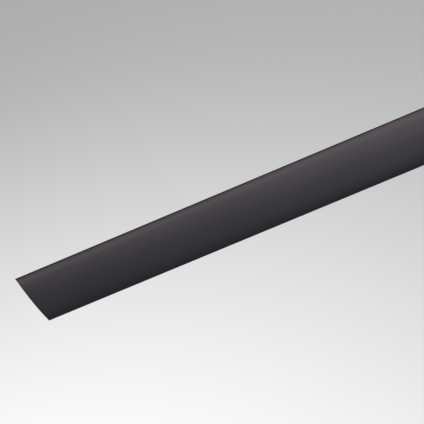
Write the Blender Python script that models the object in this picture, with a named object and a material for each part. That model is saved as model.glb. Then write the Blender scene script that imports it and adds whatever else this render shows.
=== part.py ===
"""Concealed-fix door sweep: a slotted rail that screws to the foot of a door, a low arched cover
that slides over it, a soft blade held in the rail's channel, two end plugs and the fixings.

Metres. X runs along the sweep, Z is up the door and Y points into the door, so the cover faces -Y.
The origin is on the rail's back face, at mid length, on the line of the screws.
"""

import math

import bmesh
import bpy
from mathutils import Matrix, Vector

# Stock length, and the cover's arched section
LENGTH = 0.914
COVER_WIDTH = 0.045
COVER_CENTRE_Z = 0.001
COVER_RISE = 0.0017
COVER_WALL = 0.0012
COVER_EDGE = 0.0005
COVER_FACETS = 24
BACK_FACETS = 12

# The rail: a web with a trough for the screw heads, a flange on each side and a blade channel below
WEB = 0.0015
LOWER_WEB = 0.0011
TROUGH_WIDTH = 0.017
SIDE_WALL = 0.0012
FLANGE_REACH = 0.0027
FLANGE_WALL = 0.0012
CORNER = 0.0003

# The channel that holds the blade's bead
CHANNEL_WALL = 0.0012
CHANNEL_WIDTH = 0.0030
CHANNEL_HEIGHT = 0.0033
CHANNEL_MOUTH = 0.0016
CHANNEL_LIP = 0.0011

# The cover's legs hook behind the rail's flanges
LEG_WALL = 0.0012
FOOT_WALL = 0.0012
FOOT_REACH = 0.0025

# Clearances between pieces
FIT = 0.0003
LEG_GAP = 0.0003
FOOT_GAP = 0.0004
CHANNEL_GAP = 0.0005
HEAD_GAP = 0.0026

# The blade: a rigid bead with a soft lip below it
BEAD_CORNER = 0.0006
NECK = 0.0010
LIP_ROOT = 0.0012
LIP_TIP = 0.0008
LIP_LENGTH = 0.0046

# Fixings
SCREW_COUNT = 8
SCREW_FROM_END = 0.032
SHANK_RADIUS = 0.00175
CORE_RADIUS = 0.00130
THREAD_PITCH = 0.0014
THREAD_SHARE = 0.8
THREADS = 5
SCREW_LENGTH = 0.012
POINT_LENGTH = 0.0026
HEAD_RADIUS = 0.0035
HEAD_HEIGHT = 0.0024
HEAD_ROUNDING = 0.0014
RECESS_WIDTH = 0.0011
RECESS_SPAN = 0.0046
RECESS_DEPTH = 0.0014
RECESS_TAPER = 0.45
WASHER_RADIUS = 0.0045
WASHER_THICKNESS = 0.0008
ADJUSTMENT = 0.003
ROUND_STEPS = 16

# End plugs
PLUG_RECESS = 0.001
PLUG_PLATE = 0.003
PLUG_SPIGOT = 0.010
PLUG_CORNER = 0.0008

# Levels worked out from the sizes above, from the door outwards
FOOT_BACK = -LOWER_WEB - FIT
FOOT_FRONT = FOOT_BACK - FOOT_WALL
FLANGE_BACK = FOOT_FRONT - FOOT_GAP
FLANGE_FRONT = FLANGE_BACK - FLANGE_WALL
WASHER_BACK = -WEB - FIT
WASHER_FRONT = WASHER_BACK - WASHER_THICKNESS
HEAD_BACK = WASHER_FRONT - FIT
HEAD_FRONT = HEAD_BACK - HEAD_HEIGHT
COVER_BACK = HEAD_FRONT - HEAD_GAP
COVER_FRONT = COVER_BACK - COVER_WALL
BACK_RISE = COVER_RISE - COVER_WALL + COVER_EDGE

# Levels across the width, from the line of the screws
TROUGH_HALF = TROUGH_WIDTH / 2
RAIL_HALF = TROUGH_HALF + SIDE_WALL
FLANGE_EDGE = RAIL_HALF + FLANGE_REACH
LEG_INSIDE = FLANGE_EDGE + LEG_GAP
LEG_OUTSIDE = LEG_INSIDE + LEG_WALL
COVER_TOP = COVER_CENTRE_Z + COVER_WIDTH / 2
COVER_BOTTOM = COVER_CENTRE_Z - COVER_WIDTH / 2
CHANNEL_TOP = -(LEG_OUTSIDE + CHANNEL_GAP)
CHANNEL_ROOF = CHANNEL_TOP - CHANNEL_WALL
CHANNEL_FLOOR = CHANNEL_ROOF - CHANNEL_HEIGHT
CHANNEL_BOTTOM = CHANNEL_FLOOR - CHANNEL_LIP
CHANNEL_BACK = -CHANNEL_WALL
CHANNEL_FRONT = CHANNEL_BACK - CHANNEL_WIDTH
BLADE_Y = (CHANNEL_BACK + CHANNEL_FRONT) / 2
LIP_PIVOT_Z = CHANNEL_BOTTOM - FIT - LIP_ROOT / 2
SCREW_PITCH = (LENGTH - 2 * SCREW_FROM_END) / (SCREW_COUNT - 1)
SLOT_WIDTH = 2 * (SHANK_RADIUS + FIT)
SLOT_LENGTH = SLOT_WIDTH + 2 * ADJUSTMENT


def clear_scene():
    for obj in list(bpy.data.objects):
        bpy.data.objects.remove(obj)


def make_material(name, colour, roughness, metallic):
    material = bpy.data.materials.new(name)
    material.use_nodes = True
    shader = material.node_tree.nodes["Principled BSDF"]
    shader.inputs["Base Color"].default_value = (*colour, 1)
    shader.inputs["Roughness"].default_value = roughness
    shader.inputs["Metallic"].default_value = metallic
    return material


def arc(centre, radius, start, end, steps):
    """Points (y, z) on an arc; angles in degrees, 0 along +y and 90 along +z."""
    points = []
    for i in range(steps + 1):
        angle = math.radians(start + (end - start) * i / steps)
        points.append((centre[0] + radius * math.cos(angle), centre[1] + radius * math.sin(angle)))
    return points


def rounded(corners, radius, steps=2):
    """The closed outline through these (y, z) corners, each rounded by the radius."""
    outline = []
    for i, corner in enumerate(corners):
        here = Vector(corner)
        to_last = Vector(corners[i - 1]) - here
        to_next = Vector(corners[(i + 1) % len(corners)]) - here
        half_angle = to_last.angle(to_next) / 2
        reach = radius / math.tan(half_angle)
        centre = here + (to_last.normalized() + to_next.normalized()).normalized() * (
            radius / math.sin(half_angle)
        )
        start = here + to_last.normalized() * reach - centre
        end = here + to_next.normalized() * reach - centre
        sweep = start.angle_signed(end)
        for step in range(steps + 1):
            turned = Matrix.Rotation(-sweep * step / steps, 2) @ start
            outline.append(tuple(centre + turned))
    return outline


def extruded(name, outline, start, end):
    """A mesh of the (y, z) outline drawn along X."""
    bm = bmesh.new()
    verts = [bm.verts.new((start, y, z)) for y, z in outline]
    face = bm.faces.new(verts)
    grown = bmesh.ops.extrude_face_region(bm, geom=[face])["geom"]
    moved = [item for item in grown if isinstance(item, bmesh.types.BMVert)]
    bmesh.ops.translate(bm, vec=(end - start, 0, 0), verts=moved)
    bmesh.ops.recalc_face_normals(bm, faces=bm.faces)
    mesh = bpy.data.meshes.new(name)
    bm.to_mesh(mesh)
    bm.free()
    return mesh


def turned(name, profile, steps):
    """A mesh of the (radius, y) profile turned about the Y axis; its ends lie on the axis or meet."""
    bm = bmesh.new()
    verts = [bm.verts.new((radius, y, 0)) for radius, y in profile]
    edges = [bm.edges.new(pair) for pair in zip(verts, verts[1:])]
    if profile[0][0] > 0:
        edges.append(bm.edges.new((verts[-1], verts[0])))
    bmesh.ops.spin(
        bm,
        geom=verts + edges,
        cent=(0, 0, 0),
        axis=(0, 1, 0),
        angle=math.tau,
        steps=steps,
        use_merge=True,
    )
    bmesh.ops.remove_doubles(bm, verts=bm.verts, dist=1e-6)
    bmesh.ops.recalc_face_normals(bm, faces=bm.faces)
    mesh = bpy.data.meshes.new(name)
    bm.to_mesh(mesh)
    bm.free()
    mesh.shade_smooth()
    mesh.set_sharp_from_angle(angle=math.radians(35))
    return mesh


def add_object(name, mesh, material, location=(0, 0, 0), parent=None):
    """An object at this world location, made a child of the parent where one is given."""
    obj = bpy.data.objects.new(name, mesh)
    bpy.context.scene.collection.objects.link(obj)
    if material and not mesh.materials:
        mesh.materials.append(material)
    obj.location = location
    if parent:
        obj.parent = parent
        obj.location = Vector(location) - parent.location
    return obj


def add_pivot(name, location):
    pivot = bpy.data.objects.new(name, None)
    pivot.empty_display_size = 0.01
    bpy.context.scene.collection.objects.link(pivot)
    pivot.location = location
    return pivot


def cut(obj, cutter):
    """Cuts the cutter from the object, and keeps the cutter as a wire guide."""
    cutter.hide_render = True
    cutter.display_type = "WIRE"
    modifier = obj.modifiers.new("cut", "BOOLEAN")
    modifier.operation = "DIFFERENCE"
    modifier.solver = "EXACT"
    modifier.object = cutter
    return modifier


def baked(obj):
    """The object's mesh with its modifiers applied."""
    graph = bpy.context.evaluated_depsgraph_get()
    return bpy.data.meshes.new_from_object(obj.evaluated_get(graph))


def screw_places():
    return [(i - (SCREW_COUNT - 1) / 2) * SCREW_PITCH for i in range(SCREW_COUNT)]


def arch(front, rise, z):
    """Y of an arc across the cover's width: foremost at its centre, and back by the rise at its edges."""
    half = COVER_WIDTH / 2
    radius = (half**2 + rise**2) / (2 * rise)
    return front + radius - math.sqrt(radius**2 - (z - COVER_CENTRE_Z) ** 2)


def leg_outline(side):
    """One hooked leg behind the face, in the outline's order."""
    leg = [
        (arch(COVER_BACK, BACK_RISE, side * LEG_OUTSIDE), LEG_OUTSIDE),
        (FOOT_BACK, LEG_OUTSIDE),
        (FOOT_BACK, LEG_INSIDE - FOOT_REACH),
        (FOOT_FRONT, LEG_INSIDE - FOOT_REACH),
        (FOOT_FRONT, LEG_INSIDE),
        (arch(COVER_BACK, BACK_RISE, side * LEG_INSIDE), LEG_INSIDE),
    ]
    return [(y, side * z) for y, z in leg[::side]]


def cover_outline():
    """Up the face from its lower edge, and down the back round both legs."""
    outline = []
    for i in range(COVER_FACETS + 1):
        z = COVER_BOTTOM + COVER_WIDTH * i / COVER_FACETS
        outline.append((arch(COVER_FRONT, COVER_RISE, z), z))
    outline.append((arch(COVER_BACK, BACK_RISE, COVER_TOP), COVER_TOP))
    outline += leg_outline(1)
    for i in range(1, BACK_FACETS):
        z = LEG_INSIDE - 2 * LEG_INSIDE * i / BACK_FACETS
        outline.append((arch(COVER_BACK, BACK_RISE, z), z))
    outline += leg_outline(-1)
    outline.append((arch(COVER_BACK, BACK_RISE, COVER_BOTTOM), COVER_BOTTOM))
    return outline


def add_cover(material):
    mesh = extruded("cover", cover_outline(), -LENGTH / 2, LENGTH / 2)
    mesh.shade_smooth()
    mesh.set_sharp_from_angle(angle=math.radians(20))
    return add_object("cover", mesh, material)


def rail_outline():
    mouth_front = BLADE_Y - CHANNEL_MOUTH / 2
    mouth_back = BLADE_Y + CHANNEL_MOUTH / 2
    upper = [
        (0, RAIL_HALF),
        (FLANGE_BACK, RAIL_HALF),
        (FLANGE_BACK, FLANGE_EDGE),
        (FLANGE_FRONT, FLANGE_EDGE),
        (FLANGE_FRONT, TROUGH_HALF),
        (-WEB, TROUGH_HALF),
    ]
    lower = [
        (-WEB, -TROUGH_HALF),
        (FLANGE_FRONT, -TROUGH_HALF),
        (FLANGE_FRONT, -FLANGE_EDGE),
        (FLANGE_BACK, -FLANGE_EDGE),
        (FLANGE_BACK, -RAIL_HALF),
        (-LOWER_WEB, -RAIL_HALF),
    ]
    channel = [
        (-LOWER_WEB, CHANNEL_TOP),
        (CHANNEL_FRONT - CHANNEL_WALL, CHANNEL_TOP),
        (CHANNEL_FRONT - CHANNEL_WALL, CHANNEL_BOTTOM),
        (mouth_front, CHANNEL_BOTTOM),
        (mouth_front, CHANNEL_FLOOR),
        (CHANNEL_FRONT, CHANNEL_FLOOR),
        (CHANNEL_FRONT, CHANNEL_ROOF),
        (CHANNEL_BACK, CHANNEL_ROOF),
        (CHANNEL_BACK, CHANNEL_FLOOR),
        (mouth_back, CHANNEL_FLOOR),
        (mouth_back, CHANNEL_BOTTOM),
        (0, CHANNEL_BOTTOM),
    ]
    return rounded(upper + lower + channel, CORNER)


def slot_cutters():
    """One upright slot for each screw, longer than the web is thick."""
    straight = (SLOT_LENGTH - SLOT_WIDTH) / 2
    bm = bmesh.new()
    for x in screw_places():
        ends = arc((x, straight), SLOT_WIDTH / 2, 0, 180, ROUND_STEPS // 2)
        ends += arc((x, -straight), SLOT_WIDTH / 2, 180, 360, ROUND_STEPS // 2)
        face = bm.faces.new([bm.verts.new((point[0], -2 * WEB, point[1])) for point in ends])
        grown = bmesh.ops.extrude_face_region(bm, geom=[face])["geom"]
        moved = [item for item in grown if isinstance(item, bmesh.types.BMVert)]
        bmesh.ops.translate(bm, vec=(0, 3 * WEB, 0), verts=moved)
    bmesh.ops.recalc_face_normals(bm, faces=bm.faces)
    mesh = bpy.data.meshes.new("slot_cutters")
    bm.to_mesh(mesh)
    bm.free()
    return add_object("slot_cutters", mesh, None)


def add_rail(material):
    mesh = extruded("base_rail", rail_outline(), -LENGTH / 2, LENGTH / 2)
    rail = add_object("base_rail", mesh, material)
    cut(rail, slot_cutters())
    return rail


def add_bead(material):
    """The rigid part of the blade: a bead inside the channel, with a neck down through its mouth."""
    head_half = CHANNEL_WIDTH / 2 - FIT
    head = rounded(
        [
            (BLADE_Y - head_half, CHANNEL_FLOOR + FIT),
            (BLADE_Y - head_half, CHANNEL_ROOF - FIT),
            (BLADE_Y + head_half, CHANNEL_ROOF - FIT),
            (BLADE_Y + head_half, CHANNEL_FLOOR + FIT),
        ],
        BEAD_CORNER,
        4,
    )
    neck = [
        (BLADE_Y + NECK / 2, CHANNEL_FLOOR + FIT),
        (BLADE_Y + NECK / 2, CHANNEL_BOTTOM),
        (BLADE_Y - NECK / 2, CHANNEL_BOTTOM),
        (BLADE_Y - NECK / 2, CHANNEL_FLOOR + FIT),
    ]
    mesh = extruded("blade_bead", head + neck, -LENGTH / 2, LENGTH / 2)
    return add_object("blade_bead", mesh, material)


def add_lip(material):
    """The soft part of the blade. Its round top turns about the pivot, which holds its origin."""
    tip = LIP_TIP / 2
    outline = arc((0, 0), LIP_ROOT / 2, 0, 180, 8)
    outline += arc((0, tip - LIP_LENGTH), tip, 180, 360, 6)
    pivot = add_pivot("blade_flex_axis", (0, BLADE_Y, LIP_PIVOT_Z))
    mesh = extruded("blade_lip", outline, -LENGTH / 2, LENGTH / 2)
    return add_object("blade_lip", mesh, material, pivot.location, pivot)


def plug_outlines():
    """The plug's plate, across the trough and both flanges, and its spigot between the side walls."""
    wide = FLANGE_EDGE - FIT
    front = arch(COVER_BACK, BACK_RISE, -wide) + FIT
    shoulder = FLANGE_FRONT - FIT
    back = -WEB - FIT
    narrow = TROUGH_HALF - FIT
    plate = [(shoulder, wide), (front, wide), (front, -wide), (shoulder, -wide)]
    stem = [(back, -narrow), (back, narrow)]
    return (
        rounded([*plate, (shoulder, -narrow), *stem, (shoulder, narrow)], CORNER),
        rounded([(shoulder - FIT, narrow), (shoulder - FIT, -narrow), *stem], PLUG_CORNER),
    )


def add_plug(name, side, material):
    """A plug pushed into one end of the rail, set back from the cover's end."""
    plate_outline, spigot_outline = plug_outlines()
    outer = side * (LENGTH / 2 - PLUG_RECESS)
    inner = outer - side * PLUG_PLATE
    plug = add_object(name, extruded(name, plate_outline, outer, inner), material)
    middle = (outer + inner) / 2
    spigot_mesh = extruded(name + "_spigot", spigot_outline, middle, inner - side * PLUG_SPIGOT)
    spigot = add_object(name + "_spigot", spigot_mesh, None)
    modifier = cut(plug, spigot)
    modifier.operation = "UNION"
    return plug


def screw_profile():
    """The (radius, y) profile from the head's top to the point, the head standing on the washer."""
    head = [(0, HEAD_FRONT)]
    crown = (HEAD_FRONT + HEAD_ROUNDING, HEAD_RADIUS - HEAD_ROUNDING)
    for y, radius in arc(crown, HEAD_ROUNDING, 180, 90, 4):
        head.append((radius, y))
    head.append((HEAD_RADIUS, HEAD_BACK))
    shank = [(CORE_RADIUS, HEAD_BACK)]
    thread_end = HEAD_BACK + SCREW_LENGTH - POINT_LENGTH
    thread_start = thread_end - THREADS * THREAD_PITCH
    for i in range(THREADS):
        root = thread_start + i * THREAD_PITCH
        shank.append((CORE_RADIUS, root))
        shank.append((SHANK_RADIUS, root + THREAD_PITCH * THREAD_SHARE / 2))
        shank.append((CORE_RADIUS, root + THREAD_PITCH * THREAD_SHARE))
    shank.append((CORE_RADIUS, thread_end))
    shank.append((0, thread_end + POINT_LENGTH))
    return head + shank


def recess_cutter():
    """A cross that narrows as it goes down into the head."""
    span, width = RECESS_SPAN / 2, RECESS_WIDTH / 2
    arm = [(width, width), (width, span), (-width, span)]
    bm = bmesh.new()
    verts = []
    for quarter in range(4):
        turn = Matrix.Rotation(math.radians(90 * quarter), 2)
        for corner in arm:
            x, z = turn @ Vector(corner)
            verts.append(bm.verts.new((x, 0, z)))
    grown = bmesh.ops.extrude_face_region(bm, geom=[bm.faces.new(verts)])["geom"]
    floor = [item for item in grown if isinstance(item, bmesh.types.BMVert)]
    bmesh.ops.translate(bm, vec=(0, HEAD_FRONT - RECESS_DEPTH, 0), verts=verts)
    bmesh.ops.translate(bm, vec=(0, HEAD_FRONT + RECESS_DEPTH, 0), verts=floor)
    bmesh.ops.scale(bm, vec=(RECESS_TAPER, 1, RECESS_TAPER), verts=floor)
    bmesh.ops.recalc_face_normals(bm, faces=bm.faces)
    mesh = bpy.data.meshes.new("recess_cutter")
    bm.to_mesh(mesh)
    bm.free()
    return add_object("recess_cutter", mesh, None)


def screw_mesh(material):
    """One screw with its cross recess cut, shared by every screw."""
    blank = add_object("screw_blank", turned("screw_blank", screw_profile(), ROUND_STEPS), material)
    cutter = recess_cutter()
    cut(blank, cutter)
    mesh = baked(blank)
    mesh.name = "screw"
    for helper in (blank, cutter):
        bpy.data.objects.remove(helper)
    return mesh


def add_fixings(material):
    """A screw and a washer at each slot, all on one pivot because they stay put together."""
    screw = screw_mesh(material)
    hole = SHANK_RADIUS + FIT
    section = [
        (hole, WASHER_FRONT),
        (WASHER_RADIUS, WASHER_FRONT),
        (WASHER_RADIUS, WASHER_BACK),
        (hole, WASHER_BACK),
    ]
    washer = turned("washer", section, ROUND_STEPS)
    pivot = add_pivot("fixings_axis", (0, 0, 0))
    for number, x in enumerate(screw_places(), 1):
        add_object(f"screw_{number}", screw, material, (x, 0, 0), pivot)
        add_object(f"washer_{number}", washer, material, (x, 0, 0), pivot)


def main():
    clear_scene()
    black_anodised = make_material("black_anodised_aluminium", (0.055, 0.052, 0.058), 0.38, 1.0)
    mill_aluminium = make_material("mill_finish_aluminium", (0.60, 0.60, 0.61), 0.42, 1.0)
    zinc_steel = make_material("zinc_plated_steel", (0.62, 0.62, 0.60), 0.30, 1.0)
    rigid_vinyl = make_material("rigid_vinyl", (0.030, 0.030, 0.032), 0.45, 0.0)
    soft_vinyl = make_material("soft_vinyl", (0.022, 0.022, 0.024), 0.60, 0.0)
    plug_rubber = make_material("plug_rubber", (0.020, 0.020, 0.021), 0.70, 0.0)
    add_rail(mill_aluminium)
    add_cover(black_anodised)
    add_bead(rigid_vinyl)
    add_lip(soft_vinyl)
    add_plug("end_plug_left", -1, plug_rubber)
    add_plug("end_plug_right", 1, plug_rubber)
    add_fixings(zinc_steel)


main()
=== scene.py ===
"""Finishes a concealed-fix door sweep: its arched cover, slotted rail, soft blade, end plugs and fixings.

Metres. X runs along the sweep, Z is up the door and Y points into the door. Places come from the frame's
own pieces, and each finish is named for the real material.
"""

import math
import random

import bmesh
import bpy
from bpy.props import FloatProperty, FloatVectorProperty, IntProperty, PointerProperty
from mathutils import Matrix, Vector


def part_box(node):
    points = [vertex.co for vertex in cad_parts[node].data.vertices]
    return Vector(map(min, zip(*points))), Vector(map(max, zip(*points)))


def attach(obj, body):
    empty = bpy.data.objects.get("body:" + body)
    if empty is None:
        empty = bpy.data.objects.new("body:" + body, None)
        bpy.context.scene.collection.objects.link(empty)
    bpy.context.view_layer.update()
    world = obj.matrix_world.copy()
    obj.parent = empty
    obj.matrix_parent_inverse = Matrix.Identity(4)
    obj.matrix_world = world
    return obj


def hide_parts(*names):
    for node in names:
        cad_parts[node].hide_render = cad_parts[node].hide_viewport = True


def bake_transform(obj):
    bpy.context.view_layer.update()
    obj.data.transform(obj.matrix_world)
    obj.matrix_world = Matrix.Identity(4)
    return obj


bl_info = {
    "name": "Door Sweep",
    "version": (1, 0, 0),
    "blender": (4, 5, 0),
    "location": "3D View > Sidebar > Door Sweep",
    "description": "Makes a concealed-fix door sweep and the stage that it is shown on",
    "category": "Object",
}

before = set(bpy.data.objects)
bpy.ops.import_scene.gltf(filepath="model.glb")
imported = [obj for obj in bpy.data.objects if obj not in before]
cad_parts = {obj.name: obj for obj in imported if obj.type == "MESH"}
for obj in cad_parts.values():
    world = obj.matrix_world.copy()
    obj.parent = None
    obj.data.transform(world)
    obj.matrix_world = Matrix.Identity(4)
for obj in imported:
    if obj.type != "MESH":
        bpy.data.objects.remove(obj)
MM = 0.001
ALONG = (1, 0, 0)
INTO_DOOR = Vector((0, 1, 0))
# Vertices closer than this are the same one.
SAME_PLACE = 1e-6
# Faces that meet at less than this are parts of one curved surface.
SMOOTH_BELOW = math.radians(32)


# ---------------------------------------------------------------- colours, nodes and meshes


def linear(hex_colour):
    """Linear red, green and blue of an sRGB hex colour."""
    channels = [int(hex_colour[i : i + 2], 16) / 255 for i in (0, 2, 4)]
    return [c / 12.92 if c <= 0.04045 else ((c + 0.055) / 1.055) ** 2.4 for c in channels]


def colour_property(name, description, hex_colour):
    """A colour that a user can change, from its sRGB hex value."""
    return FloatVectorProperty(
        name=name, description=description, subtype="COLOR", min=0, max=1, default=linear(hex_colour)
    )


def length_property(name, description, millimetres):
    """A length that a user can change, from its value in millimetres."""
    return FloatProperty(
        name=name, description=description, unit="LENGTH", precision=5, min=0, default=millimetres * MM
    )


def add_node(tree, kind, settings, links=()):
    """Adds a node, sets its options and sockets by name, and links (socket, source) pairs to its inputs."""
    node = tree.nodes.new(kind)
    for key, value in settings.items():
        if key in node.inputs:
            node.inputs[key].default_value = value
        else:
            setattr(node, key, value)
    for socket, source in links:
        tree.links.new(source, node.inputs[socket])
    return node


def new_material(name, shader_settings):
    """A material with a Principled shader, and the object coordinates that its patterns read."""
    material = bpy.data.materials.new(name)
    material.use_nodes = True
    tree = material.node_tree
    shader = tree.nodes["Principled BSDF"]
    for key, value in shader_settings.items():
        shader.inputs[key].default_value = value
    place = add_node(tree, "ShaderNodeTexCoord", {}).outputs["Object"]
    return material, tree, shader, place


def streaks(tree, place, spacing, run, detail=2.0):
    """Noise drawn out along X: lines about this spacing apart that hold for about this run."""
    scaled = add_node(
        tree, "ShaderNodeMapping", {"Scale": (1 / run, 1 / spacing, 1 / spacing)}, [("Vector", place)]
    )
    noise = {"Scale": 1.0, "Detail": detail, "Roughness": 0.6}
    return add_node(tree, "ShaderNodeTexNoise", noise, [("Vector", scaled.outputs[0])]).outputs["Fac"]


def grain(tree, place, size, detail=2.0):
    """Even noise with grains of about this size."""
    noise = {"Scale": 1 / size, "Detail": detail, "Roughness": 0.55}
    return add_node(tree, "ShaderNodeTexNoise", noise, [("Vector", place)]).outputs["Fac"]


def spread(tree, value, low, high, from_low=0.3, from_high=0.7):
    """The value stretched to run between two levels. Most of a noise lies between 0.3 and 0.7."""
    levels = {"From Min": from_low, "From Max": from_high, "To Min": low, "To Max": high}
    return add_node(tree, "ShaderNodeMapRange", levels, [("Value", value)]).outputs["Result"]


def tinted(tree, value, first, second):
    """A colour that goes from the first to the second as the value goes from 0 to 1."""
    settings = {"data_type": "RGBA", "A": (*first, 1), "B": (*second, 1)}
    return add_node(tree, "ShaderNodeMix", settings, [("Factor", value)]).outputs["Result"]


def bumped(tree, shader, layers):
    """Stacks (height, depth in metres, strength) layers of relief and gives the last to the shader."""
    normal = None
    for height, depth, strength in layers:
        links = [("Height", height)] + ([("Normal", normal)] if normal else [])
        node = add_node(tree, "ShaderNodeBump", {"Strength": strength, "Distance": depth}, links)
        normal = node.outputs["Normal"]
    tree.links.new(normal, shader.inputs["Normal"])


def finished(name, bm, material, body, replaced):
    """A piece made of the mesh: shaded, riding on its body if it has one, and replacing its CAD nodes."""
    bmesh.ops.recalc_face_normals(bm, faces=bm.faces)
    mesh = bpy.data.meshes.new(name)
    bm.to_mesh(mesh)
    bm.free()
    mesh.shade_smooth()
    mesh.set_sharp_from_angle(angle=SMOOTH_BELOW)
    mesh.materials.append(material)
    piece = bpy.data.objects.new(name, mesh)
    bpy.context.scene.collection.objects.link(piece)
    # Wide faces set the normals, so the narrow bevels beside them don't bend their shading.
    piece.modifiers.new("weighted_normals", "WEIGHTED_NORMAL").keep_sharp = True
    if body:
        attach(piece, body)
    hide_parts(*replaced)
    return piece


def merged_copy(node):
    """A bmesh of a CAD node with its loose triangles joined and its flat faces made whole."""
    bm = bmesh.new()
    bm.from_mesh(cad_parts[node].data)
    bmesh.ops.remove_doubles(bm, verts=bm.verts, dist=2 * SAME_PLACE)
    bmesh.ops.dissolve_limit(bm, angle_limit=math.radians(1), verts=bm.verts, edges=bm.edges)
    return bm


def bevel_edges(bm, edges, width, segments):
    """Rounds the edges, or chamfers them where there is one segment."""
    bmesh.ops.bevel(
        bm,
        geom=edges,
        offset=width,
        offset_type="OFFSET",
        affect="EDGES",
        segments=segments,
        profile=0.5,
        material=-1,
        clamp_overlap=True,
    )


def sharp_edges(bm, above=SMOOTH_BELOW):
    """The edges whose two faces turn by more than this angle."""
    return [e for e in bm.edges if e.is_manifold and e.calc_face_angle() > above]


def spun_arc(bm, start, centre, angle, steps):
    """Spins one vertex about a line along X, and returns the vertices along its path in order."""
    first = bm.verts.new(start)
    bmesh.ops.spin(bm, geom=[first], cent=centre, axis=ALONG, angle=angle, steps=steps)
    return list(bm.verts)[-steps - 1 :]


def drawn_along(bm, outline, start, end):
    """Closes the outline to a face and draws it along X, as a die does."""
    face = bm.faces.new(outline)
    bmesh.ops.translate(bm, vec=(start - outline[0].co.x, 0, 0), verts=outline)
    grown = bmesh.ops.extrude_face_region(bm, geom=[face])["geom"]
    far_verts = [item for item in grown if isinstance(item, bmesh.types.BMVert)]
    bmesh.ops.translate(bm, vec=(end - start, 0, 0), verts=far_verts)
    bmesh.ops.recalc_face_normals(bm, faces=bm.faces)


# ---------------------------------------------------------------- finishes


def black_anodised(settings):
    """Black anodised aluminium: a dyed oxide skin over metal, drawn through a die and etched satin.

    It reflects little, in a soft sheen that keeps the shape of what it reflects, with a slight
    violet cast and very faint lines along the drawing direction.
    """
    material, tree, shader, place = new_material("black_anodised_aluminium", {"Metallic": 1.0})
    cloud = spread(tree, grain(tree, place, 60 * MM), 0, 1)
    colour = tinted(tree, cloud, settings.colour_deep, settings.colour)
    tree.links.new(colour, shader.inputs["Base Color"])
    # Die lines are a few hundredths of a millimetre apart, and the etch's grain is finer still. They are
    # drawn at 0.9 and 0.5 mm so that they show.
    lines = streaks(tree, place, 0.9 * MM, 400 * MM)
    etch = grain(tree, place, 0.5 * MM)
    rough = settings.roughness
    tree.links.new(spread(tree, lines, rough - 0.015, rough + 0.015), shader.inputs["Roughness"])
    bumped(tree, shader, [(lines, 0.004 * MM, 0.25), (etch, 0.002 * MM, 0.2)])
    return material


def mill_aluminium(settings):
    """Mill-finish aluminium, straight from the die: a pale, slightly cloudy metal with clear die lines."""
    material, tree, shader, place = new_material("mill_finish_aluminium", {"Metallic": 1.0})
    cloud = spread(tree, streaks(tree, place, 14 * MM, 120 * MM), 0, 1)
    colour = tinted(tree, cloud, settings.colour_dull, settings.colour)
    tree.links.new(colour, shader.inputs["Base Color"])
    # Most of a die's lines are finer than this; they are drawn at 0.5 mm so that they show.
    lines = streaks(tree, place, 0.5 * MM, 300 * MM, detail=4.0)
    tree.links.new(spread(tree, lines, 0.30, 0.46), shader.inputs["Roughness"])
    bumped(tree, shader, [(lines, 0.02 * MM, 0.4)])
    return material


def zinc_plate(settings):
    """Bright zinc plate on steel: silvery with a faint blue and straw cast that drifts across each piece."""
    material, tree, shader, place = new_material("zinc_plated_steel", {"Metallic": 1.0})
    cast = spread(tree, grain(tree, place, 5 * MM, detail=1.0), 0, 1)
    colour = tinted(tree, cast, settings.colour_blue, settings.colour_straw)
    tree.links.new(colour, shader.inputs["Base Color"])
    # The plating's own grain is far too fine to show, so it is drawn at 0.35 mm.
    fine = grain(tree, place, 0.35 * MM)
    tree.links.new(spread(tree, fine, 0.22, 0.36), shader.inputs["Roughness"])
    bumped(tree, shader, [(fine, 0.01 * MM, 0.3)])
    return material


def black_vinyl(name, colour, paler, roughness, relief):
    """Extruded black vinyl: even and dull, with soft flow lines along its length."""
    material, tree, shader, place = new_material(name, {"Metallic": 0.0, "Specular IOR Level": 0.4})
    flow = streaks(tree, place, 1.2 * MM, 150 * MM)
    tree.links.new(tinted(tree, spread(tree, flow, 0, 1), colour, paler), shader.inputs["Base Color"])
    tree.links.new(spread(tree, flow, roughness - 0.05, roughness + 0.06), shader.inputs["Roughness"])
    # The skin's own grain is finer; it is drawn at 0.3 mm so that it shows.
    skin = grain(tree, place, 0.3 * MM)
    bumped(tree, shader, [(flow, relief, 0.4), (skin, 0.01 * MM, 0.3)])
    return material


def moulded_rubber(colour, paler):
    """Moulded black rubber: matt, with the fine spark texture of its mould and a dusty bloom."""
    material, tree, shader, place = new_material("moulded_rubber", {"Specular IOR Level": 0.35})
    bloom = spread(tree, grain(tree, place, 3 * MM), 0, 1)
    tree.links.new(tinted(tree, bloom, colour, paler), shader.inputs["Base Color"])
    tree.links.new(spread(tree, bloom, 0.66, 0.82), shader.inputs["Roughness"])
    # Spark texture is about half as coarse as this; it is drawn at 0.25 mm so that it shows.
    bumped(tree, shader, [(grain(tree, place, 0.25 * MM), 0.03 * MM, 0.5)])
    return material


# ---------------------------------------------------------------- the cover


class CoverSettings(bpy.types.PropertyGroup):
    """The arched cover's section and finish."""

    rise: length_property("Rise", "How far the face bows out at its middle", 1.7)
    wall: length_property("Wall", "Thickness at the middle and of the legs", 1.2)
    edge: length_property("Edge", "Thickness at the long edges", 0.5)
    foot: length_property("Foot", "How far each foot reaches in from its leg", 2.5)
    leg_gap: length_property("Leg gap", "Clearance between a leg and the rail's flange", 0.3)
    corner: length_property("Corner", "Radius on the long corners", 0.12)
    steps: IntProperty(name="Steps", description="Faces across the arch", min=12, max=96, default=56)
    roughness: FloatProperty(
        name="Roughness", description="Softness of the sheen", subtype="FACTOR", min=0, max=1, default=0.14
    )
    colour: colour_property("Colour", "The skin where it is palest", "2e2c33")
    colour_deep: colour_property("Deep colour", "The skin where it is deepest", "2c2a31")


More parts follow.
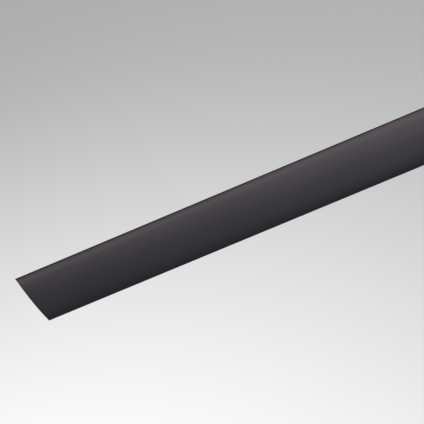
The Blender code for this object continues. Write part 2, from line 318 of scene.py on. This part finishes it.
def arch_arc(bm, front, rise, low_corner, high_corner, ends, steps):
    """Spins an arc across the cover between two heights; front is its foremost y, at the cover's middle."""
    middle = (low_corner.z + high_corner.z) / 2
    half = (high_corner.z - low_corner.z) / 2
    radius = (half**2 + rise**2) / (2 * rise)
    first, last = (math.asin((z - middle) / radius) for z in ends)
    centre = (0, front + radius, middle)
    start = (0, centre[1] - radius * math.cos(first), centre[2] + radius * math.sin(first))
    return spun_arc(bm, start, centre, first - last, steps)


class DOORSWEEP_OT_cover(bpy.types.Operator):
    """Makes the arched cover with its two hooked legs"""

    bl_idname = "door_sweep.cover"
    bl_label = "Cover"

    def execute(self, context):
        settings = context.scene.door_sweep_cover
        low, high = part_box("cover")
        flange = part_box("base_rail")[1].z
        leg_inside = flange + settings.leg_gap
        leg_outside = leg_inside + settings.wall
        foot_end = leg_inside - settings.foot
        back_front = low.y + settings.wall
        back_rise = settings.rise - settings.wall + settings.edge
        foot_front = high.y - settings.wall
        bm = bmesh.new()

        def back_arc(first, last, steps):
            return arch_arc(bm, back_front, back_rise, low, high, (first, last), steps)

        def foot(side):
            points = [
                (high.y, leg_outside),
                (high.y, foot_end),
                (foot_front, foot_end),
                (foot_front, leg_inside),
            ]
            return [bm.verts.new((0, y, side * z)) for y, z in points[::side]]

        outline = arch_arc(bm, low.y, settings.rise, low, high, (low.z, high.z), settings.steps)
        outline += back_arc(high.z, leg_outside, settings.steps // 4)
        outline += foot(1)
        outline += back_arc(leg_inside, -leg_inside, settings.steps // 2)
        outline += foot(-1)
        outline += back_arc(-leg_outside, low.z, settings.steps // 4)
        drawn_along(bm, outline, low.x, high.x)
        bevel_edges(bm, sharp_edges(bm), settings.corner, segments=2)
        finished("cover_extrusion", bm, black_anodised(settings), "cover", ["cover"])
        return {"FINISHED"}


# ---------------------------------------------------------------- the rail


class RailSettings(bpy.types.PropertyGroup):
    """The rail's finish."""

    burr: length_property("Burr chamfer", "Chamfer round each slot where its burr was taken off", 0.15)
    colour: colour_property("Colour", "Mill aluminium at its brightest", "c6c9ce")
    colour_dull: colour_property("Dull colour", "Mill aluminium where it is cloudy", "b2b5b9")


class DOORSWEEP_OT_rail(bpy.types.Operator):
    """Finishes the slotted rail, with the burrs taken off its slots"""

    bl_idname = "door_sweep.rail"
    bl_label = "Rail"

    def execute(self, context):
        settings = context.scene.door_sweep_rail
        bm = merged_copy("base_rail")
        low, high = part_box("base_rail")
        # The slots reach a little past the washers, and nothing else is cut so near the screws' line.
        slot_zone = 1.5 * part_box("washer_1")[1].z
        rims = [e for e in sharp_edges(bm) if self.round_a_slot(e, low, high, slot_zone)]
        bevel_edges(bm, rims, settings.burr, segments=1)
        finished("slotted_rail", bm, mill_aluminium(settings), "rail", ["base_rail"])
        return {"FINISHED"}

    @staticmethod
    def round_a_slot(edge, low, high, zone):
        """Is this a short edge near the line of the screws and away from the rail's ends?"""
        inside = (abs(vert.co.z) < zone and low.x + MM < vert.co.x < high.x - MM for vert in edge.verts)
        return all(inside) and (edge.verts[0].co - edge.verts[1].co).length < 2 * zone


# ---------------------------------------------------------------- the blade


class BladeSettings(bpy.types.PropertyGroup):
    """The two-part blade's section and finish."""

    neck: length_property("Neck", "Thickness of the neck in the channel's mouth", 1.0)
    root: length_property("Root", "Thickness at the top of the soft lip", 1.2)
    tip: length_property("Tip", "Thickness at the wiping edge", 0.8)
    level_spacing: length_property("Level spacing", "Height between the lip's cuts, which let it bend", 0.3)
    colour: colour_property("Lip colour", "Soft vinyl", "1d1d1f")
    colour_pale: colour_property("Lip bloom", "Soft vinyl where it has bloomed", "262628")
    bead_colour: colour_property("Bead colour", "Rigid vinyl", "222224")
    bead_pale: colour_property("Bead pale colour", "Rigid vinyl at its palest", "29292b")


class DOORSWEEP_OT_blade(bpy.types.Operator):
    """Makes the soft lip below the rigid bead, and finishes the bead"""

    bl_idname = "door_sweep.blade"
    bl_label = "Blade"

    def execute(self, context):
        settings = context.scene.door_sweep_blade
        low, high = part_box("blade_lip")
        neck_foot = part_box("blade_bead")[0].z
        middle = (low.y + high.y) / 2
        pivot = high.z - settings.root / 2
        tip = settings.tip / 2
        bm = bmesh.new()
        side = [(settings.neck / 2, neck_foot), (settings.root / 2, high.z), (settings.root / 2, pivot)]
        outline = [bm.verts.new((0, middle + y, z)) for y, z in side]
        centre = (0, middle, low.z + tip)
        outline += spun_arc(bm, (0, middle + tip, low.z + tip), centre, -math.pi, steps=8)
        outline += [bm.verts.new((0, middle - y, z)) for y, z in side[::-1]]
        drawn_along(bm, outline, low.x, high.x)
        levels = int((high.z - low.z - tip) / settings.level_spacing)
        for level in range(1, levels):
            bmesh.ops.bisect_plane(
                bm,
                geom=bm.verts[:] + bm.edges[:] + bm.faces[:],
                dist=SAME_PLACE,
                plane_co=(0, 0, high.z - level * settings.level_spacing),
                plane_no=(0, 0, 1),
            )
        soft = black_vinyl(
            "soft_vinyl", settings.colour, settings.colour_pale, roughness=0.62, relief=0.02 * MM
        )
        lip = finished("soft_lip", bm, soft, None, ["blade_lip"])
        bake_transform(lip)
        rigid = black_vinyl(
            "rigid_vinyl", settings.bead_colour, settings.bead_pale, roughness=0.42, relief=0.01 * MM
        )
        finished("rigid_bead", merged_copy("blade_bead"), rigid, "rail", ["blade_bead"])
        return {"FINISHED"}


# ---------------------------------------------------------------- the end plugs


class PlugSettings(bpy.types.PropertyGroup):
    """The end plugs' edges and finish."""

    edge: length_property("Edge", "Radius on the moulded edges", 0.3)
    corner_angle: FloatProperty(
        name="Corner angle", description="Edges that turn by more than this are rounded", unit="ROTATION",
        default=math.radians(50),
    )
    colour: colour_property("Colour", "Black rubber", "19191a")
    colour_pale: colour_property("Bloom", "Black rubber where it has bloomed", "242425")


class DOORSWEEP_OT_plugs(bpy.types.Operator):
    """Makes the two rubber end plugs with their moulded edges"""

    bl_idname = "door_sweep.plugs"
    bl_label = "End plugs"

    def execute(self, context):
        settings = context.scene.door_sweep_plugs
        rubber = moulded_rubber(settings.colour, settings.colour_pale)
        for node in ("end_plug_left", "end_plug_right"):
            bm = merged_copy(node)
            bevel_edges(bm, sharp_edges(bm, settings.corner_angle), settings.edge, segments=3)
            finished("rubber_" + node, bm, rubber, "rail", [node])
        return {"FINISHED"}


# ---------------------------------------------------------------- the fixings


class FixingSettings(bpy.types.PropertyGroup):
    """The screws' and washers' sizes and finish."""

    head_height: length_property("Head height", "Height of the pan head", 2.4)
    head_round: length_property("Head rounding", "Radius of the pan head's upper edge", 1.3)
    core: length_property("Core", "Radius at the root of the thread", 1.3)
    thread: length_property("Thread", "Radius at the crest of the thread", 1.75)
    pitch: length_property("Pitch", "Distance from one thread to the next", 1.3)
    point: length_property("Point", "Length of the tapered point", 2.8)
    recess: length_property("Recess", "Span of the cross recess", 3.6)
    recess_depth: length_property("Recess depth", "Depth of the cross recess", 1.4)
    washer_edge: length_property("Washer edge", "Rounding of the washer's stamped edge", 0.12)
    washer_play: length_property("Washer play", "Clearance between the thread and the washer's hole", 0.3)
    colour_blue: colour_property("Blue cast", "Zinc with its blue passivation", "c9cdd3")
    colour_straw: colour_property("Straw cast", "Zinc where it turns to straw", "d3cfc2")


def turned(bm, profile, steps):
    """Turns (radius, y) points about the Y axis."""
    verts = [bm.verts.new((radius, y, 0)) for radius, y in profile]
    edges = [bm.edges.new(pair) for pair in zip(verts, verts[1:])]
    bmesh.ops.spin(
        bm,
        geom=verts + edges,
        cent=(0, 0, 0),
        axis=(0, 1, 0),
        angle=math.tau,
        steps=steps,
        use_merge=True,
    )
    bmesh.ops.remove_doubles(bm, verts=bm.verts, dist=SAME_PLACE)
    bmesh.ops.recalc_face_normals(bm, faces=bm.faces)


def plain_object(name, bm):
    """An object made of the mesh as it is."""
    mesh = bpy.data.meshes.new(name)
    bm.to_mesh(mesh)
    bm.free()
    obj = bpy.data.objects.new(name, mesh)
    bpy.context.scene.collection.objects.link(obj)
    return obj


def combined(first, second, operation):
    """A bmesh of the first object joined with, or cut by, the second. Both objects are removed."""
    modifier = first.modifiers.new("combine", "BOOLEAN")
    modifier.operation = operation
    modifier.object = second
    graph = bpy.context.evaluated_depsgraph_get()
    bm = bmesh.new()
    bm.from_object(first, graph)
    for obj in (first, second):
        bpy.data.objects.remove(obj)
    return bm


def helical_thread(settings, start, end):
    """A shank from start to end along Y with a right-hand thread, tapered to a point."""
    turn_steps = 20
    turns = math.ceil((end - start) / settings.pitch) + 2
    # One pitch of the thread's section, as shares of the pitch along the shank and the radius there.
    ridge = [
        (0, settings.core),
        (0.25, settings.core),
        (0.45, settings.thread),
        (0.52, settings.thread),
        (0.72, settings.core),
        (1, settings.core),
    ]
    bm = bmesh.new()
    top = start - settings.pitch
    verts = [bm.verts.new((radius, top + share * settings.pitch, 0)) for share, radius in ridge]
    edges = [bm.edges.new(pair) for pair in zip(verts, verts[1:])]
    bmesh.ops.spin(
        bm,
        geom=verts + edges,
        cent=(0, 0, 0),
        axis=(0, 1, 0),
        dvec=(0, settings.pitch / turn_steps, 0),
        angle=math.tau * turns,
        steps=turn_steps * turns,
    )
    bmesh.ops.remove_doubles(bm, verts=bm.verts, dist=SAME_PLACE)
    for place, outward in ((start, -1), (end, 1)):
        cut = bmesh.ops.bisect_plane(
            bm,
            geom=bm.verts[:] + bm.edges[:] + bm.faces[:],
            plane_co=(0, place, 0),
            plane_no=(0, outward, 0),
            clear_outer=True,
        )["geom_cut"]
        rim = [item for item in cut if isinstance(item, bmesh.types.BMEdge)]
        bmesh.ops.edgenet_fill(bm, edges=rim)
    # The point's end as a share of the shank's full width.
    tip_share = 0.1
    for vert in bm.verts:
        past = max(0.0, vert.co.y - (end - settings.point)) / settings.point
        narrowed = 1 - (1 - tip_share) * past
        vert.co.x *= narrowed
        vert.co.z *= narrowed
    bmesh.ops.recalc_face_normals(bm, faces=bm.faces)
    return bm


def cross_recess(settings, top):
    """A cross-shaped plug that narrows as it goes deeper, to cut from the head."""
    # An arm's width as a share of its span, and the plug's foot as a share of its top.
    arm_share = 0.26
    foot_share = 0.5
    bm = bmesh.new()
    bmesh.ops.create_cube(bm, size=1)
    # Half of the plug stands out of the head, so that it cuts through the top.
    arm = (settings.recess, 2 * settings.recess_depth, settings.recess * arm_share)
    bmesh.ops.scale(bm, vec=arm, verts=bm.verts)
    other = bmesh.new()
    bmesh.ops.create_cube(other, size=1)
    bmesh.ops.scale(other, vec=arm[::-1], verts=other.verts)
    bm = combined(plain_object("recess_arm", bm), plain_object("recess_cross", other), "UNION")
    for vert in bm.verts:
        if vert.co.y > 0:
            vert.co.x *= foot_share
            vert.co.z *= foot_share
    bmesh.ops.translate(bm, vec=(0, top, 0), verts=bm.verts)
    bmesh.ops.recalc_face_normals(bm, faces=bm.faces)
    return bm


def edges_at(bm, y):
    """The sharp edges that lie at this y."""
    return [e for e in sharp_edges(bm) if all(abs(vert.co.y - y) < SAME_PLACE for vert in e.verts)]


def screw_form(settings, low, high):
    """One pan-head screw on the Y axis, its head's top at low and its point at high."""
    seat = low.y + settings.head_height
    head_radius = (high.z - low.z) / 2
    head = bmesh.new()
    profile = [(0, low.y), (head_radius, low.y), (head_radius, seat), (0, seat)]
    turned(head, profile, steps=40)
    crown = edges_at(head, low.y)
    bevel_edges(head, crown, settings.head_round, segments=7)
    # The shank starts inside the head, so that the two join.
    shank = helical_thread(settings, seat - settings.head_round / 2, high.y)
    bm = combined(plain_object("head", head), plain_object("shank", shank), "UNION")
    recess = plain_object("recess", cross_recess(settings, low.y))
    bm = combined(plain_object("whole", bm), recess, "DIFFERENCE")
    bmesh.ops.remove_doubles(bm, verts=bm.verts, dist=SAME_PLACE)
    return bm


class DOORSWEEP_OT_fixings(bpy.types.Operator):
    """Makes the pan-head screws and their washers"""

    bl_idname = "door_sweep.fixings"
    bl_label = "Fixings"

    def execute(self, context):
        settings = context.scene.door_sweep_fixings
        zinc = zinc_plate(settings)
        numbers = range(1, sum(node.startswith("screw_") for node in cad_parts) + 1)
        screw = screw_form(settings, *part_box("screw_1"))
        washer = self.washer_form(settings)
        # Each screw stops at its own turn, as the driver leaves it.
        turn = random.Random(8)
        for number in numbers:
            low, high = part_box(f"screw_{number}")
            centre = Vector(((low.x + high.x) / 2, 0, 0))
            place = Matrix.Translation(centre) @ Matrix.Rotation(turn.uniform(0, math.tau), 4, "Y")
            for form, kind, node in ((screw, "pan_head_screw", "screw"), (washer, "flat_washer", "washer")):
                bm = form.copy()
                bmesh.ops.transform(bm, matrix=place, verts=bm.verts)
                name = f"{node}_{number}"
                finished(f"{kind}_{number}", bm, zinc, "fixings", [name])
        screw.free()
        washer.free()
        return {"FINISHED"}

    @staticmethod
    def washer_form(settings):
        """One washer on the Y axis, with the rounded and the sharp side that a press leaves."""
        low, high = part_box("washer_1")
        radius = (high.z - low.z) / 2
        hole = settings.thread + settings.washer_play
        bm = bmesh.new()
        profile = [(hole, low.y), (radius, low.y), (radius, high.y), (hole, high.y), (hole, low.y)]
        turned(bm, profile, steps=48)
        bevel_edges(bm, edges_at(bm, low.y), settings.washer_edge, segments=2)
        return bm


# ---------------------------------------------------------------- the stage


class StageSettings(bpy.types.PropertyGroup):
    """The floor, the lights and the camera."""

    floor_drop: FloatProperty(
        name="Floor drop", description="Height of the sweep above the floor", unit="LENGTH", default=2.0
    )
    floor_size: FloatProperty(name="Floor size", description="Side of the floor", unit="LENGTH", default=60)
    floor_colour: colour_property("Floor colour", "Pale studio floor", "ededed")
    surround: FloatProperty(
        name="Surround", description="Brightness of the room round the set", min=0, default=0.48
    )
    surround_colour: colour_property("Surround colour", "Pale walls", "f4f5f7")
    lens: FloatProperty(
        name="Lens", description="Focal length on a 36 mm sensor, in mm", unit="CAMERA", default=203.77
    )
    camera_place: FloatVectorProperty(
        name="Camera place", description="Where the camera stands", subtype="TRANSLATION",
        unit="LENGTH", default=(-0.02944, -0.99028, 1.0144),
    )
    camera_turn: FloatVectorProperty(
        name="Camera turn", description="The camera's rotation about X, Y and Z", subtype="EULER",
        unit="ROTATION", default=[math.radians(angle) for angle in (40.096, 24.094, -8.85)],
    )


def add_light(kind, name, place, target, power, colour, **settings):
    """A light at a place, turned to face a target. It lights the set and isn't seen itself."""
    light = bpy.data.lights.new(name, kind)
    light.energy = power
    light.color = linear(colour)
    for key, value in settings.items():
        setattr(light, key, value)
    lamp = bpy.data.objects.new(name, light)
    bpy.context.scene.collection.objects.link(lamp)
    lamp.location = place
    lamp.rotation_euler = (target - place).to_track_quat("-Z", "Y").to_euler()
    lamp.visible_camera = False
    return lamp


def add_graduated_softbox(place, width, height, power, stops):
    """A softbox that faces the sweep, shaded from its foot to its top by (height share, hex colour) stops.

    It is dimmer towards the sweep's left end, as where the lamp inside it stands to the right.
    """
    size = {"shape": "RECTANGLE", "size": width, "size_y": height, "use_nodes": True}
    lamp = add_light("AREA", "graduated_softbox", place, place + INTO_DOOR, power, "ffffff", **size)
    tree = lamp.data.node_tree
    emission = tree.nodes["Emission"]
    across = add_node(tree, "ShaderNodeNewGeometry", {}).outputs["Parametric"]
    split = add_node(tree, "ShaderNodeSeparateXYZ", {}, [("Vector", across)])
    ramp = add_node(tree, "ShaderNodeValToRGB", {}, [("Fac", split.outputs["Y"])])
    while len(ramp.color_ramp.elements) < len(stops):
        ramp.color_ramp.elements.new(1)
    for element, (share, colour) in zip(ramp.color_ramp.elements, stops):
        element.position = share
        element.color = (*linear(colour), 1)
    level = spread(tree, split.outputs["X"], low=0.48, high=1.0, from_low=0.33, from_high=0.5)
    tree.links.new(ramp.outputs["Color"], emission.inputs["Color"])
    tree.links.new(level, emission.inputs["Strength"])


def studio_floor(settings):
    """Matt painted studio floor: pale and even, with the faintest roller texture."""
    material, tree, shader, place = new_material(
        "painted_floor", {"Roughness": 0.9, "Specular IOR Level": 0.1}
    )
    # The darkest clouds in the paint, as a share of its palest.
    darkest = 0.985
    cloud_size = 1.5
    shade = [channel * darkest for channel in settings.floor_colour]
    cloud = spread(tree, grain(tree, place, cloud_size), 0, 1)
    tree.links.new(tinted(tree, cloud, shade, settings.floor_colour), shader.inputs["Base Color"])
    bumped(tree, shader, [(grain(tree, place, 2 * MM), 0.05 * MM, 0.2)])
    return material


class DOORSWEEP_OT_stage(bpy.types.Operator):
    """Makes the floor, the lights and the camera"""

    bl_idname = "door_sweep.stage"
    bl_label = "Stage"

    def execute(self, context):
        settings = context.scene.door_sweep_stage
        self.add_floor(settings)
        self.add_surround(settings)
        self.add_lights(settings)
        self.add_camera(settings)
        context.scene.view_settings.view_transform = "Standard"
        return {"FINISHED"}

    @staticmethod
    def add_floor(settings):
        bm = bmesh.new()
        bmesh.ops.create_grid(bm, x_segments=1, y_segments=1, size=settings.floor_size / 2)
        bmesh.ops.translate(bm, vec=(0, 0, -settings.floor_drop), verts=bm.verts)
        floor = plain_object("floor", bm)
        floor.data.materials.append(studio_floor(settings))

    @staticmethod
    def add_surround(settings):
        world = bpy.data.worlds.new("surround")
        world.use_nodes = True
        background = world.node_tree.nodes["Background"]
        background.inputs["Color"].default_value = (*settings.surround_colour, 1)
        background.inputs["Strength"].default_value = settings.surround
        bpy.context.scene.world = world

    @staticmethod
    def add_lights(settings):
        overhead = {"shape": "DISK", "size": 3.0}
        above = Vector((0.5, -0.5, 4))
        sweep = Vector((0, 0, 0))
        add_light("AREA", "overhead_softbox", above, sweep, power=20, colour="ffffff", **overhead)
        # A wide soft pool of light on the floor, behind the sweep and past its left end.
        pool_radius = 1.85
        pool_height = 4
        pool_centre = Vector((-1.61, 0.84, -settings.floor_drop))
        pool_lamp = pool_centre + Vector((0, 0, pool_height))
        spread_angle = 2 * math.atan(pool_radius / pool_height)
        pool = {"spot_size": spread_angle, "spot_blend": 1.0, "shadow_soft_size": 0.3}
        add_light("SPOT", "floor_spot", pool_lamp, pool_centre, power=493, colour="ffffff", **pool)
        # The cover's face reflects these two: the strip is the sheen by its upper edge, and the softbox
        # gives the rest its slow fall from pale to dark.
        front_width = 3.6
        strip = {"shape": "RECTANGLE", "size": front_width, "size_y": 0.05}
        strip_place = Vector((-0.3, -1, -0.565))
        strip_target = strip_place + INTO_DOOR
        add_light("AREA", "warm_strip", strip_place, strip_target, power=1.54, colour="fff0df", **strip)
        stops = [
            (0.0, "81827e"),
            (0.15, "81827e"),
            (0.3, "9fa29e"),
            (0.38, "b3b5af"),
            (0.5, "b6b9b2"),
            (0.65, "d0d1c6"),
            (0.8, "fcf9ea"),
            (0.95, "f6f5d5"),
        ]
        softbox_place = Vector((-0.3, -1.01, -1.1))
        add_graduated_softbox(softbox_place, front_width, height=1.3, power=39, stops=stops)

    @staticmethod
    def add_camera(settings):
        data = bpy.data.cameras.new("camera")
        data.lens = settings.lens
        camera = bpy.data.objects.new("camera", data)
        camera.location = settings.camera_place
        camera.rotation_euler = settings.camera_turn
        bpy.context.scene.collection.objects.link(camera)
        bpy.context.scene.camera = camera


# ---------------------------------------------------------------- the add-on

GROUPS = {
    "cover": CoverSettings,
    "rail": RailSettings,
    "blade": BladeSettings,
    "plugs": PlugSettings,
    "fixings": FixingSettings,
    "stage": StageSettings,
}
OPERATORS = (
    DOORSWEEP_OT_cover,
    DOORSWEEP_OT_rail,
    DOORSWEEP_OT_blade,
    DOORSWEEP_OT_plugs,
    DOORSWEEP_OT_fixings,
    DOORSWEEP_OT_stage,
)


class DOORSWEEP_PT_panel(bpy.types.Panel):
    """Lists the sweep's pieces and the stage"""

    bl_idname = "DOORSWEEP_PT_panel"
    bl_label = "Door Sweep"
    bl_space_type = "VIEW_3D"
    bl_region_type = "UI"
    bl_category = "Door Sweep"

    def draw(self, context):
        for name, group, operator in zip(GROUPS, GROUPS.values(), OPERATORS):
            box = self.layout.box()
            box.operator(operator.bl_idname)
            for key in group.__annotations__:
                box.prop(getattr(context.scene, "door_sweep_" + name), key)


def register():
    for name, group in GROUPS.items():
        bpy.utils.register_class(group)
        setattr(bpy.types.Scene, "door_sweep_" + name, PointerProperty(type=group))
    for cls in (*OPERATORS, DOORSWEEP_PT_panel):
        bpy.utils.register_class(cls)


def unregister():
    for cls in (DOORSWEEP_PT_panel, *reversed(OPERATORS)):
        bpy.utils.unregister_class(cls)
    for name, group in GROUPS.items():
        delattr(bpy.types.Scene, "door_sweep_" + name)
        bpy.utils.unregister_class(group)


def main():
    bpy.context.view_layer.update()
    register()
    bpy.ops.door_sweep.cover()
    bpy.ops.door_sweep.rail()
    bpy.ops.door_sweep.blade()
    bpy.ops.door_sweep.plugs()
    bpy.ops.door_sweep.fixings()
    bpy.ops.door_sweep.stage()


if __name__ == "__main__":
    main()
